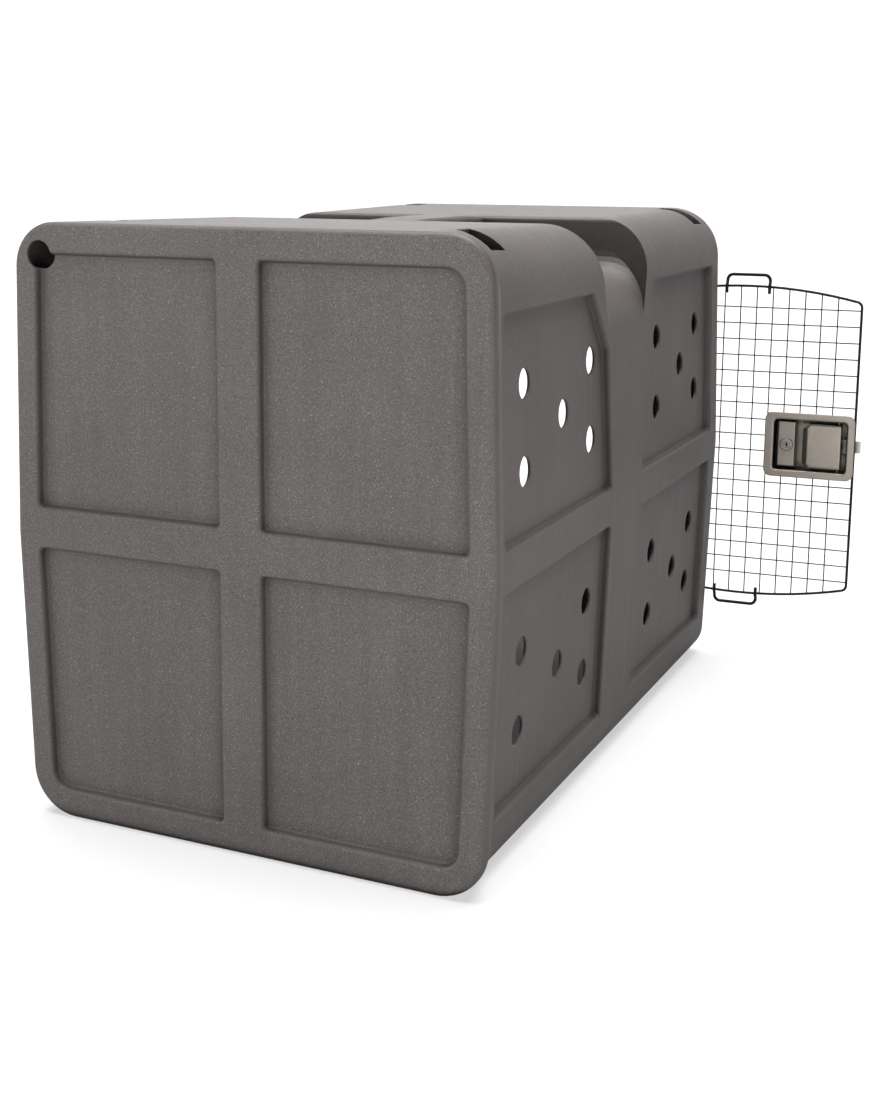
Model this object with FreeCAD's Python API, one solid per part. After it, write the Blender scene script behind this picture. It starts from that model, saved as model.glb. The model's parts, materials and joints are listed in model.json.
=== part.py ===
import FreeCAD, Part
import math
import os

# Pet transport carrier: one-piece moulded shell with a swing door of welded wire and a flush
# paddle latch.  Millimetres.  X is the width, Y the length (the door is at -Y), Z is up, and the
# origin is the centre of the base on the floor.  The door stands open at rest.

V = FreeCAD.Vector
X_DIR = V(1, 0, 0)
Y_DIR = V(0, 1, 0)
Z_DIR = V(0, 0, 1)

# ---- shell ----
HALF_LENGTH = 505.0
HEIGHT = 720.0
SAG = 7.0                   # the top dips by this much from the ends to the middle
HALF_WIDTH = 292.0          # at the widest level
DRAFT = 10.8                # each side leans in by this much at the top and at the bottom
WAIST_Z = 352.0             # widest level
WALL = 4.0
BASE_R = 45.0
SHOULDER_R = 75.0
FAR_SHOULDER_R = 52.0       # the +X shoulder is tighter
REAR_FLARE = 16.0           # the rear end frame stands out by this much
REAR_R = 52.0
REAR_BASE_R = 60.0
FLARE_START_Y = 445.0
FLARE_END_Y = 492.0
FRONT_EDGE_R = 22.0
REAR_EDGE_R = 8.0

# ---- groove and carrying handle ----
SADDLE_Z = 643.0
SADDLE_R = 60.0
GROOVE_TOP = 115.0
GROOVE_LOW = 72.2
GROOVE_LOW_Z = 575.0
GROOVE_BLEND_R = 40.0       # between the saddle and the walls
GROOVE_EDGE_R = 8.0         # along the tops of the walls
HANDLE_W = 76.0
HANDLE_TOP = 716.5
HANDLE_UNDER = 697.0
HANDLE_EDGE_R = 9.0
FINGER_X = 92.0
FINGER_Y = 58.0
FINGER_Z = 624.0

# ---- recessed panels ----
RECESS = 9.0
SIDE_TOP = 631.7
SIDE_KNEE = 558.6
SIDE_MID_TOP = 377.0
SIDE_MID_LOW = 327.0
SIDE_LOW = 69.7
SIDE_REAR = 436.0
SIDE_FRONT = -447.0
SIDE_INNER = 76.0
SIDE_INNER_REAR = 61.0       # the rear bay reaches nearer the middle below the knee
SIDE_SLANT = 134.0
BACK_TOP = 684.0
BACK_MID_TOP = 386.0
BACK_MID_LOW = 335.0
BACK_LOW = 36.0
BACK_INNER = 27.4
BACK_OUTER = 276.0

# ---- holes ----
VENT_D = 35.0
VENT_EDGE = 1.3             # bevel round each vent
VENT_REAR_Y = (352.0, 222.0, 120.0)
VENT_FRONT_Y = (-174.0, -297.0, -380.0)
VENT_UPPER_Z = (549.0, 497.0, 450.0)
VENT_LOWER_Z = (241.0, 188.0, 146.0)
CORNER_HOLE_D = 33.0
SLOT_W = 38.0
SLOT_FLOOR = 696.0
SLOT_REAR_Y = 399.0
SLOT_REAR_X = 220.0
SLOT_FRONT_Y = -436.0
SLOT_FRONT_X = 200.0

# ---- doorway ----
DOORWAY_LEFT = -160.0
DOORWAY_RIGHT = 198.5
DOOR_Z = 349.4              # mid-height of the door
DOORWAY_HALF_SIDE = 233.0
DOORWAY_HALF_MID = 254.5
DOORWAY_R = 14.0
LIP_END_Y = -492.0

# ---- door ----
HINGE_X = -152.5
HINGE_Y = -509.5
OPEN_DEG = 177.1
CROSS_PITCH = 25.4
UPRIGHT_PITCH = 24.93
UPRIGHT_MID = 175.7
FRAME_D = 4.0
WIRE_D = 1.9
FRAME_HALF_W = 174.0        # to the wire's centreline
FRAME_HALF_SIDE = 228.0
FRAME_HALF_MID = 249.4
FRAME_R = 9.0
BAIL_D = 5.0
BAIL_HALF_W = 33.2
BAIL_TOP = 267.0
BAIL_END = 238.0
BAIL_R = 9.0
BAIL_JOG = (250.5, 256.5)     # heights where each leg steps over the frame
CLAMP_OFFSET = 152.4        # each hinge clamp's height above and below the door's middle
CLAMP_H = 20.0
CLAMP_T = 2.5
RUN = 0.05                  # radial running clearance
HINGE_BOLT_X = -173.0

# ---- latch, in the door's own axes: s from the hinge, w outward, z from the door's middle ----
PLATE_S0 = 210.0
PLATE_S1 = 348.5
PLATE_HALF_H = 51.9
PLATE_W0 = 2.05
PLATE_W1 = 4.05
PLATE_R = 12.0
DISH_S0 = 224.5
DISH_S1 = 336.0
DISH_HALF_H = 40.3
DISH_FLOOR = -24.6
DISH_R = 6.0
ROLL_R = 3.0                # rolled rim of the dish
SHEET = 1.5
LOCK_S0 = 230.1
LOCK_S1 = 257.0
LOCK_MID = 244.0
LOCK_MID_Z = 1.2
LOCK_HALF_H = 36.2
LOCK_W = -1.0
BARREL_D = 18.0
COLLAR_D = 21.0
PLUG_D = 12.0
PADDLE_S0 = 279.2
PADDLE_S1 = 328.5
PADDLE_HALF_H = 36.9
PADDLE_W1 = 3.4
PADDLE_SKIN = 1.8
LIP_REACH = 10.5
LIP_HALF_H = 29.5
PIVOT_S = 323.5
PIVOT_W = -3.0
PIVOT_D = 4.0
BOLT_S0 = 300.0
BOLT_S1 = 356.0
BOLT_W0 = -24.5
BOLT_W1 = -18.5
BOLT_HALF_H = 9.5
BOLT_MID_W = (BOLT_W0 + BOLT_W1) / 2.0
ROD_D = 4.0
GUIDE_S0 = 328.3
GUIDE_W = 6.4
STOP_S = 278.0
STUD_S = (225.0, 326.0)
STUD_Z = 46.3
CAM_W = LOCK_W + 1.0 - 41.5


# ---------------------------------------------------------------- plane outlines

def offset_polygon(points, distance):
    """Move each side of a convex counter-clockwise polygon outward by distance."""
    count = len(points)
    lines = []
    for i in range(count):
        ax, ay = points[i]
        bx, by = points[(i + 1) % count]
        length = math.hypot(bx - ax, by - ay)
        nx = (by - ay) / length
        ny = -(bx - ax) / length
        lines.append((nx, ny, nx * ax + ny * ay + distance))
    moved = []
    for i in range(count):
        n0x, n0y, c0 = lines[i - 1]
        n1x, n1y, c1 = lines[i]
        det = n0x * n1y - n0y * n1x
        moved.append(((c0 * n1y - c1 * n0y) / det, (n0x * c1 - n1x * c0) / det))
    return moved


def rounded_wire(points, radii, place):
    """Closed wire through a polygon with rounded corners; place maps (a, b) to a 3-D point."""
    count = len(points)
    starts = []
    ends = []
    middles = []
    for i in range(count):
        px, py = points[i - 1]
        cx, cy = points[i]
        nx, ny = points[(i + 1) % count]
        ux, uy = px - cx, py - cy
        vx, vy = nx - cx, ny - cy
        lu = math.hypot(ux, uy)
        lv = math.hypot(vx, vy)
        ux, uy, vx, vy = ux / lu, uy / lu, vx / lv, vy / lv
        half = math.acos(max(-1.0, min(1.0, ux * vx + uy * vy))) / 2.0
        r = radii[i]
        if r <= 0.0:
            starts.append((cx, cy))
            ends.append((cx, cy))
            middles.append(None)
            continue
        t = r / math.tan(half)
        bx, by = ux + vx, uy + vy
        lb = math.hypot(bx, by)
        reach = r / math.sin(half) - r
        starts.append((cx + ux * t, cy + uy * t))
        ends.append((cx + vx * t, cy + vy * t))
        middles.append((cx + bx / lb * reach, cy + by / lb * reach))
    edges = []
    for i in range(count):
        j = (i + 1) % count
        if middles[i] is not None:
            edges.append(Part.Arc(place(*starts[i]), place(*middles[i]), place(*ends[i])).toShape())
        edges.append(Part.makeLine(place(*ends[i]), place(*starts[j])))
    return Part.Wire(edges)


def arched_wire(half_w, half_side, half_mid, corner_r, place):
    """Closed outline with straight sides, bowed top and bottom, and round corners."""
    rise = half_mid - half_side
    big = (half_w * half_w + rise * rise) / (2.0 * rise)
    centre = half_mid - big
    fx = half_w - corner_r
    fz = centre + math.sqrt((big - corner_r) ** 2 - fx * fx)
    reach = big / (big - corner_r)
    tx = fx * reach
    tz = centre + (fz - centre) * reach
    angle = math.atan2(tz - fz, tx - fx) / 2.0
    mx = fx + corner_r * math.cos(angle)
    mz = fz + corner_r * math.sin(angle)

    def arc(a, b, c):
        return Part.Arc(place(*a), place(*b), place(*c)).toShape()

    edges = [
        Part.makeLine(place(half_w, -fz), place(half_w, fz)),
        arc((half_w, fz), (mx, mz), (tx, tz)),
        arc((tx, tz), (0.0, half_mid), (-tx, tz)),
        arc((-tx, tz), (-mx, mz), (-half_w, fz)),
        Part.makeLine(place(-half_w, fz), place(-half_w, -fz)),
        arc((-half_w, -fz), (-mx, -mz), (-tx, -tz)),
        arc((-tx, -tz), (0.0, -half_mid), (tx, -tz)),
        arc((tx, -tz), (mx, -mz), (half_w, -fz)),
    ]
    return Part.Wire(edges)


def rounded_box(low, high, radius):
    """Box with the edges that run along its shortest side rounded."""
    size = high.sub(low)
    box = Part.makeBox(size.x, size.y, size.z, low)
    thin = min(range(3), key=lambda i: size[i])
    edges = []
    for edge in box.Edges:
        along = edge.Vertexes[1].Point.sub(edge.Vertexes[0].Point)
        if abs(abs(along[thin]) - size[thin]) < 1e-6 and edge.Length < size[thin] + 1e-6:
            edges.append(edge)
    return box.makeFillet(radius, edges)


def bent_rod(points, radii, diameter):
    """Round rod along a path of straight runs; radii has the bend at each inner point."""
    edges = []
    last = points[0]
    for i in range(1, len(points) - 1):
        into = points[i].sub(points[i - 1]).normalize()
        out = points[i + 1].sub(points[i]).normalize()
        turn = into.getAngle(out)
        radius = radii[i - 1]
        t = radius * math.tan(turn / 2.0)
        a = points[i].sub(V(into).multiply(t))
        b = points[i].add(V(out).multiply(t))
        bisector = out.sub(into).normalize()
        middle = points[i].add(bisector.multiply(radius / math.cos(turn / 2.0) - radius))
        if a.distanceToPoint(last) > 1e-6:
            edges.append(Part.makeLine(last, a))
        edges.append(Part.Arc(a, middle, b).toShape())
        last = b
    edges.append(Part.makeLine(last, points[-1]))
    path = Part.Wire(edges)
    start = points[1].sub(points[0])
    ring = Part.Wire([Part.makeCircle(diameter / 2.0, points[0], start)])
    return path.makePipeShell([ring], True, True)


# ---------------------------------------------------------------- shell

def half_width_at(z):
    """Half-width of the shell's side at a height."""
    if z > WAIST_Z:
        return HALF_WIDTH - DRAFT * (z - WAIST_Z) / (HEIGHT - WAIST_Z)
    return HALF_WIDTH - DRAFT * (WAIST_Z - z) / WAIST_Z


def section(y, grow, top, top_radii, inset, base_r=BASE_R):
    """Cross-section of the shell at y: slightly barrelled, with round corners (+X one first)."""
    waist = HALF_WIDTH + grow
    base = waist - DRAFT
    upper = half_width_at(top) + grow
    points = [(-base, 0.0), (base, 0.0), (waist, WAIST_Z), (upper, top), (-upper, top), (-waist, WAIST_Z)]
    radii = [base_r - inset, base_r - inset, 0.0, top_radii[0] - inset, top_radii[1] - inset, 0.0]
    return rounded_wire(offset_polygon(points, -inset), radii, lambda a, b: V(a, y, b))


def hull(inset):
    """Closed body without groove or recesses."""
    shoulders = (FAR_SHOULDER_R, SHOULDER_R)
    rear = (REAR_R, REAR_R)
    sections = [
        section(-HALF_LENGTH + inset, 0.0, HEIGHT, shoulders, inset),
        section(0.0, 0.0, HEIGHT - SAG, shoulders, inset),
        section(FLARE_START_Y, 0.0, HEIGHT, shoulders, inset),
        section(FLARE_END_Y - inset * 0.4, REAR_FLARE, HEIGHT, rear, inset, REAR_BASE_R),
        section(HALF_LENGTH - inset, REAR_FLARE, HEIGHT, rear, inset, REAR_BASE_R),
    ]
    return Part.makeLoft(sections, True, True)


def end_edges(body, y):
    """Outer edges of the flat end at y."""
    return [e for e in body.Edges if all(abs(v.Point.y - y) < 1e-4 for v in e.Vertexes)
            and abs(e.valueAt((e.FirstParameter + e.LastParameter) / 2.0).y - y) < 1e-4]


def top_at(y):
    """Height of the top at y, on its sagging middle stretch."""
    return HEIGHT - SAG + SAG * abs(y) / (FLARE_START_Y if y > 0.0 else HALF_LENGTH)


def groove(inset):
    """Cross groove over the middle: the space above a lower saddle, with leaning walls and eased rims."""
    slope = (GROOVE_TOP - GROOVE_LOW) / (HEIGHT - GROOVE_LOW_Z)
    high_z = HEIGHT + 60.0
    shape = [(-GROOVE_LOW, GROOVE_LOW_Z), (GROOVE_LOW, GROOVE_LOW_Z)]
    radii = [0.0, 0.0]
    if inset > 0.0:
        high_y = GROOVE_TOP + slope * 60.0
        shape += [(high_y, high_z), (-high_y, high_z)]
        radii += [0.0, 0.0]
    else:
        for side in (1.0, -1.0):
            rim_z = top_at(side * GROOVE_TOP) + 0.06
            rim_y = GROOVE_LOW + slope * (rim_z - GROOVE_LOW_Z)
            rim = [(side * rim_y, rim_z), (side * (rim_y + 12.0), rim_z), (side * (rim_y + 12.0), high_z)]
            shape += rim if side > 0.0 else rim[::-1]
            radii += [GROOVE_EDGE_R, 0.0, 0.0] if side > 0.0 else [0.0, 0.0, GROOVE_EDGE_R]
    outline = offset_polygon(shape, inset)
    reach = HALF_WIDTH + 40.0
    wire = rounded_wire(outline, radii, lambda a, b: V(-reach, a, b))
    wedge = Part.Face(wire).extrude(V(2.0 * reach, 0, 0))
    return wedge.cut(saddle(inset, slope))


def saddle(inset, slope):
    """Rounded body left in the groove; it curves up into the two leaning walls."""
    lean = math.atan(slope)
    centre_z = SADDLE_Z + GROOVE_BLEND_R
    wall_y = GROOVE_LOW + slope * (centre_z - GROOVE_LOW_Z)
    centre_y = wall_y - GROOVE_BLEND_R / math.cos(lean)
    radius = GROOVE_BLEND_R + inset
    steps = 6
    rise = []
    for i in range(steps + 1):
        turn = (math.pi / 2.0 - lean) * i / steps
        rise.append((centre_y + radius * math.sin(turn), centre_z - radius * math.cos(turn) + inset))
    stations = [(-y, z) for y, z in rise[::-1]] + [(0.0, SADDLE_Z)] + rise
    corners = (SADDLE_R, SADDLE_R)
    return Part.makeLoft([section(y, 0.0, z, corners, inset) for y, z in stations], True, True)


def finger_pocket(inset):
    """Deeper well under the handle."""
    def ring(z, grow):
        a = FINGER_X + grow + inset
        b = FINGER_Y + grow + inset
        corners = [(-a, -b), (a, -b), (a, b), (-a, b)]
        return rounded_wire(corners, [26.0 + inset] * 4, lambda p, q: V(p, q, z))

    return Part.makeLoft([ring(FINGER_Z - inset, -6.0), ring(SADDLE_Z + 10.0, 4.0)], True, True)


def handle():
    """Moulded grip that bridges the groove from front to rear."""
    end = GROOVE_TOP + GROOVE_EDGE_R
    points = [(-end, top_at(-end) - 0.3), (-60.0, HANDLE_TOP), (60.0, HANDLE_TOP), (end, top_at(end) - 0.3),
              (106.0, 668.0), (84.0, 674.0), (54.0, HANDLE_UNDER), (-54.0, HANDLE_UNDER), (-84.0, 674.0),
              (-106.0, 668.0)]
    radii = [0.0, 40.0, 40.0, 0.0, 0.0, 18.0, 24.0, 24.0, 18.0, 0.0]
    outline = rounded_wire(points[::-1], radii[::-1], lambda a, b: V(-HANDLE_W / 2.0, a, b))
    bar = Part.Face(outline).extrude(V(HANDLE_W, 0, 0))
    long_edges = []
    for edge in bar.Edges:
        box = edge.BoundBox
        between_banks = box.YMin < 100.0 and box.YMax > -100.0
        if box.XLength < 1e-6 and box.ZMin > SADDLE_Z + 2.0 and between_banks:
            long_edges.append(edge)
    return bar.makeFillet(HANDLE_EDGE_R, long_edges)


def recess_tool(points, radii, place, depth, grow):
    """Drafted pocket cutter for a flat panel; the rim is eased where it meets the surface."""
    if grow > 0.0:
        steps = [(20.0, 3.4 + grow), (-depth - grow, -2.0 + grow)]
    else:
        steps = [(12.0, 13.6), (0.0, 3.6), (-0.5, 2.3), (-1.4, 1.2), (-2.8, 0.4), (-4.0, 0.0),
                 (-depth + 2.0, -0.9), (-depth + 0.8, -1.5), (-depth + 0.2, -2.5), (-depth, -3.8)]
    rings = []
    for level, spread in steps:
        outline = offset_polygon(points, spread)
        corner = [max(0.8, r + spread) for r in radii]
        rings.append(rounded_wire(outline, corner, lambda a, b, c=level: place(a, b, c)))
    return Part.makeLoft(rings, True, True)


def side_recesses(grow):
    """Eight panel cutters, four on each side, square to the leaning wall."""
    upper = [(SIDE_INNER, SIDE_MID_TOP), (SIDE_REAR, SIDE_MID_TOP), (SIDE_REAR, SIDE_TOP),
             (SIDE_SLANT, SIDE_TOP), (SIDE_INNER, SIDE_KNEE)]
    lower = [(SIDE_INNER, SIDE_LOW), (SIDE_REAR, SIDE_LOW), (SIDE_REAR, SIDE_MID_LOW),
             (SIDE_INNER, SIDE_MID_LOW)]
    tools = []
    for outline, lean in ((upper, DRAFT / (HEIGHT - WAIST_Z)), (lower, -DRAFT / WAIST_Z)):
        angle = math.atan(lean)
        for front in (False, True):
            points = []
            for a, b in outline:
                if front:
                    points.append((SIDE_FRONT if a == SIDE_REAR else -a, b))
                else:
                    points.append((SIDE_INNER_REAR if a == SIDE_INNER and b < SIDE_KNEE else a, b))
            if front:
                points = points[::-1]
            radii = [4.0] * len(points)
            for side in (-1.0, 1.0):
                def place(a, b, level, side=side, angle=angle):
                    up = b - WAIST_Z
                    x = HALF_WIDTH - up * math.sin(angle) + level * math.cos(angle)
                    z = WAIST_Z + up * math.cos(angle) + level * math.sin(angle)
                    return V(side * x, a, z)
                tools.append(recess_tool(points, radii, place, RECESS, grow))
    return tools


def back_recesses(grow):
    """Four panel cutters in the rear face."""
    lean_top = DRAFT * (BACK_TOP - WAIST_Z) / (HEIGHT - WAIST_Z)
    lean_low = DRAFT * (WAIST_Z - BACK_LOW) / WAIST_Z
    upper = [(BACK_INNER, BACK_MID_TOP), (BACK_OUTER - 1.0, BACK_MID_TOP),
             (BACK_OUTER - lean_top, BACK_TOP), (BACK_INNER, BACK_TOP)]
    upper_r = [5.0, 6.0, 22.0, 5.0]
    lower = [(BACK_INNER, BACK_LOW), (BACK_OUTER - lean_low, BACK_LOW),
             (BACK_OUTER - 0.5, BACK_MID_LOW), (BACK_INNER, BACK_MID_LOW)]
    lower_r = [5.0, 22.0, 6.0, 5.0]
    tools = []
    for outline, radii in ((upper, upper_r), (lower, lower_r)):
        for side in (-1.0, 1.0):
            def place(a, b, level, side=side):
                return V(side * a, HALF_LENGTH + level, b)
            tools.append(recess_tool(outline, radii, place, RECESS, grow))
    return tools


def strap_slots(grow):
    """Tie-down slots across the four top shoulders."""
    slots = []
    reach = HALF_WIDTH + 10.0
    for y, inner in ((SLOT_REAR_Y, SLOT_REAR_X), (SLOT_FRONT_Y, SLOT_FRONT_X)):
        for side in (-1.0, 1.0):
            low_x = min(side * inner, side * reach) - grow
            size_x = reach - inner + 2.0 * grow
            low = V(low_x, y - SLOT_W / 2.0 - grow, SLOT_FLOOR - grow)
            slots.append(Part.makeBox(size_x, SLOT_W + 2.0 * grow, 40.0, low))
    return slots


def doorway(y0, y1, grow):
    """Prism of the door opening."""
    half_w = (DOORWAY_RIGHT - DOORWAY_LEFT) / 2.0 + grow
    mid_x = (DOORWAY_RIGHT + DOORWAY_LEFT) / 2.0
    outline = arched_wire(half_w, DOORWAY_HALF_SIDE + grow, DOORWAY_HALF_MID + grow, DOORWAY_R + grow,
                          lambda a, b: V(mid_x + a, y0, DOOR_Z + b))
    return Part.Face(outline).extrude(V(0, y1 - y0, 0))


def vents(ys, zs):
    """Five bevelled holes in each side's panel: four corners and a middle, square to the panel."""
    y0, ym, y1 = ys
    z0, zm, z1 = zs
    cutters = []
    for side in (-1.0, 1.0):
        for y, z in ((y0, z0), (y1, z0), (ym, zm), (y0, z1), (y1, z1)):
            x = half_width_at(z) - RECESS
            lean = DRAFT / (HEIGHT - WAIST_Z) if z > WAIST_Z else -DRAFT / WAIST_Z
            outward = V(side, 0.0, lean).normalize()
            face = V(side * x, y, z)
            deep = face.sub(V(outward).multiply(3.0 * WALL))
            cutters.append(Part.makeCylinder(VENT_D / 2.0, 5.0 * WALL, deep, outward))
            base = face.sub(V(outward).multiply(VENT_EDGE))
            low_r = VENT_D / 2.0
            cutters.append(Part.makeCone(low_r, low_r + 2.0 * VENT_EDGE, 2.0 * VENT_EDGE, base, outward))
    return cutters


def shell():
    """Hollow one-piece body with its openings."""
    outer = hull(0.0)
    outer = outer.makeFillet(FRONT_EDGE_R, end_edges(outer, -HALF_LENGTH))
    outer = outer.makeFillet(REAR_EDGE_R, end_edges(outer, HALF_LENGTH))
    outer = outer.cut(groove(0.0))
    outer = outer.cut(finger_pocket(0.0))
    outer = outer.fuse(handle()).removeSplitter()
    outer = outer.cut(side_recesses(0.0) + back_recesses(0.0) + strap_slots(0.0))

    void = hull(WALL)
    void = void.makeFillet(FRONT_EDGE_R - WALL, end_edges(void, -HALF_LENGTH + WALL))
    void = void.makeFillet(REAR_EDGE_R - 3.0, end_edges(void, HALF_LENGTH - WALL))
    void = void.cut(groove(WALL))
    void = void.cut(finger_pocket(WALL))
    void = void.cut(side_recesses(WALL) + back_recesses(WALL) + strap_slots(WALL))
    void = void.cut(doorway(-HALF_LENGTH - 5.0, LIP_END_Y, WALL))

    body = outer.cut(void)
    cutters = [doorway(-HALF_LENGTH - 5.0, LIP_END_Y + 5.0, 0.0)]
    for ys in (VENT_REAR_Y, VENT_FRONT_Y):
        for zs in (VENT_UPPER_Z, VENT_LOWER_Z):
            cutters += vents(ys, zs)
    corner = V(262.0, HALF_LENGTH - 26.0, 683.0)
    cutters.append(Part.makeCylinder(CORNER_HOLE_D / 2.0, 40.0, corner, Y_DIR))
    for side in (-1.0, 1.0):
        start = V(HINGE_BOLT_X, -HALF_LENGTH - 5.0, DOOR_Z + side * CLAMP_OFFSET)
        cutters.append(Part.makeCylinder(3.2, 15.0, start, Y_DIR))
    return body.cut(cutters)


# ---------------------------------------------------------------- hinge hardware

def hinge_clamps():
    """Two formed straps bolted to the front wall, each with an eye for the door's hinge wire."""
    solids = []
    for side in (-1.0, 1.0):
        z0 = DOOR_Z + side * CLAMP_OFFSET - CLAMP_H / 2.0
        eye = Part.makeCylinder(FRAME_D / 2.0 + RUN + CLAMP_T, CLAMP_H, V(HINGE_X, HINGE_Y, z0))
        low = V(HINGE_BOLT_X - 11.0, -HALF_LENGTH - CLAMP_T, z0)
        strap = rounded_box(low, V(HINGE_X - 2.3, -HALF_LENGTH, z0 + CLAMP_H), 3.0)
        square = Part.makeBox(8.0, CLAMP_T, CLAMP_H, V(HINGE_X - 10.3, -HALF_LENGTH - CLAMP_T, z0))
        body = eye.fuse([strap, square])
        body = body.cut(Part.makeCylinder(FRAME_D / 2.0 + RUN, CLAMP_H, V(HINGE_X, HINGE_Y, z0)))
        hole = V(HINGE_BOLT_X, -HALF_LENGTH - 10.0, z0 + CLAMP_H / 2.0)
        body = body.cut(Part.makeCylinder(3.2, 12.0, hole, Y_DIR))
        solids.append(body.removeSplitter())
    return Part.makeCompound(solids)


def hinge_bolts():
    """Dome-head bolts through the clamps and the wall."""
    solids = []
    for side in (-1.0, 1.0):
        z = DOOR_Z + side * CLAMP_OFFSET
        seat = -HALF_LENGTH - CLAMP_T
        ball = Part.makeSphere(7.0, V(HINGE_BOLT_X, seat + 3.7, z))
        front = Part.makeCylinder(6.0, 4.0, V(HINGE_BOLT_X, seat, z), V(0, -1, 0))
        head = ball.common(front)
        shank = Part.makeCylinder(3.0, 15.0, V(HINGE_BOLT_X, seat, z), Y_DIR)
        solids.append(head.fuse(shank).removeSplitter())
    return Part.makeCompound(solids)


def hinge_washers():
    """Flat washers inside the wall."""
    solids = []
    for side in (-1.0, 1.0):
        base = V(HINGE_BOLT_X, -HALF_LENGTH + WALL, DOOR_Z + side * CLAMP_OFFSET)
        disc = Part.makeCylinder(6.0, 1.2, base, Y_DIR)
        solids.append(disc.cut(Part.makeCylinder(3.2, 1.2, base, Y_DIR)))
    return Part.makeCompound(solids)


def hexagon_nut(across, height, hole_r, base, direction):
    """Hexagon nut with chamfered corners."""
    centre = Part.makeCylinder(across / math.sqrt(3.0), height, V(0, 0, 0))
    points = []
    for i in range(7):
        a = math.radians(60.0 * i)
        points.append(V(across / math.sqrt(3.0) * math.cos(a), across / math.sqrt(3.0) * math.sin(a), 0))
    prism = Part.Face(Part.makePolygon(points)).extrude(V(0, 0, height))
    cone = Part.makeCone(across / 2.0 + 0.2 + height, across / 2.0 + 0.2, height, V(0, 0, 0))
    nut = prism.common(centre).common(cone.fuse(Part.makeCylinder(across, height * 0.6)))
    nut = nut.cut(Part.makeCylinder(hole_r, height))
    nut.Placement = FreeCAD.Placement(base, FreeCAD.Rotation(Z_DIR, direction))
    return nut


def hinge_nuts():
    """Nuts on the hinge bolts."""
    solids = []
    for side in (-1.0, 1.0):
        base = V(HINGE_BOLT_X, -HALF_LENGTH + WALL + 1.2, DOOR_Z + side * CLAMP_OFFSET)
        solids.append(hexagon_nut(10.0, 5.0, 3.0, base, Y_DIR))
    return Part.makeCompound(solids)


# ---------------------------------------------------------------- door, in its own axes

def door_point(s, w, z):
    """Point on the closed door: s from the hinge wire, w outward from its plane, z from mid-height."""
    return V(s, -w, DOOR_Z + z)


def door_box(s0, s1, w0, w1, z0, z1):
    """Box between two corners in the door's axes."""
    return Part.makeBox(s1 - s0, w1 - w0, z1 - z0, door_point(s0, w1, z0))


def swing(shape):
    """Turn a piece of the closed door to where it stands open."""
    shape = shape.copy()
    shape.rotate(V(0, 0, 0), Z_DIR, -OPEN_DEG)
    shape.translate(V(HINGE_X, HINGE_Y, 0))
    return shape


def frame_closed():
    """Perimeter wire; its hinge side turns in the clamps."""
    path = arched_wire(FRAME_HALF_W, FRAME_HALF_SIDE, FRAME_HALF_MID, FRAME_R,
                       lambda a, b: door_point(FRAME_HALF_W + a, 0.0, b))
    start = door_point(2.0 * FRAME_HALF_W, 0.0, 0.0)
    path = Part.Wire([Part.makeLine(start, path.Edges[0].Vertexes[1].Point)] + path.Edges[1:]
                     + [Part.makeLine(path.Edges[0].Vertexes[0].Point, start)])
    ring = Part.Wire([Part.makeCircle(FRAME_D / 2.0, start, Z_DIR)])
    return path.makePipeShell([ring], True, True)


def frame_height_at(s):
    """Half-height of the perimeter wire's centreline at s."""
    rise = FRAME_HALF_MID - FRAME_HALF_SIDE
    big = (FRAME_HALF_W ** 2 + rise ** 2) / (2.0 * rise)
    return FRAME_HALF_MID - big + math.sqrt(big ** 2 - (s - FRAME_HALF_W) ** 2)


def mesh_vertical(frame):
    """Upright wires, welded to the frame and cut away behind the latch."""
    solids = []
    for i in range(12):
        s = UPRIGHT_MID + (i - 5.5) * UPRIGHT_PITCH
        top = frame_height_at(s)
        spans = [(-top, top)]
        if DISH_S0 - SHEET - 2.0 < s < DISH_S1:
            spans = [(-top, -DISH_HALF_H - SHEET - 0.4), (DISH_HALF_H + SHEET + 0.4, top)]
        for z0, z1 in spans:
            rod = Part.makeCylinder(WIRE_D / 2.0, z1 - z0, door_point(s, WIRE_D / 2.0, z0))
            solids.append(rod.cut(frame))
    return Part.makeCompound(solids)


def mesh_horizontal(frame):
    """Cross wires behind the upright ones."""
    solids = []
    for i in range(18):
        z = (i - 8.5) * CROSS_PITCH
        s1 = 2.0 * FRAME_HALF_W
        if abs(z) < DISH_HALF_H + SHEET + 2.0:
            s1 = DISH_S0 - SHEET - 0.4
        start = door_point(0.0, -WIRE_D / 2.0, z)
        rod = Part.makeCylinder(WIRE_D / 2.0, s1, start, X_DIR)
        solids.append(rod.cut(frame))
    return Part.makeCompound(solids)


def bail(up):
    """U-shaped stop wire that laps over the front wall when the door is shut."""
    points = []
    jog = (FRAME_D + BAIL_D) / 2.0
    for side in (-1.0, 1.0):
        s = FRAME_HALF_W + side * BAIL_HALF_W
        leg = [door_point(s, jog, up * BAIL_END), door_point(s, jog, up * BAIL_JOG[0]),
               door_point(s, 0.0, up * BAIL_JOG[1]), door_point(s, 0.0, up * BAIL_TOP)]
        points += leg if side < 0.0 else leg[::-1]
    return bent_rod(points, [3.0, 3.0, BAIL_R, BAIL_R, 3.0, 3.0], BAIL_D)


# ---------------------------------------------------------------- latch

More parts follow.
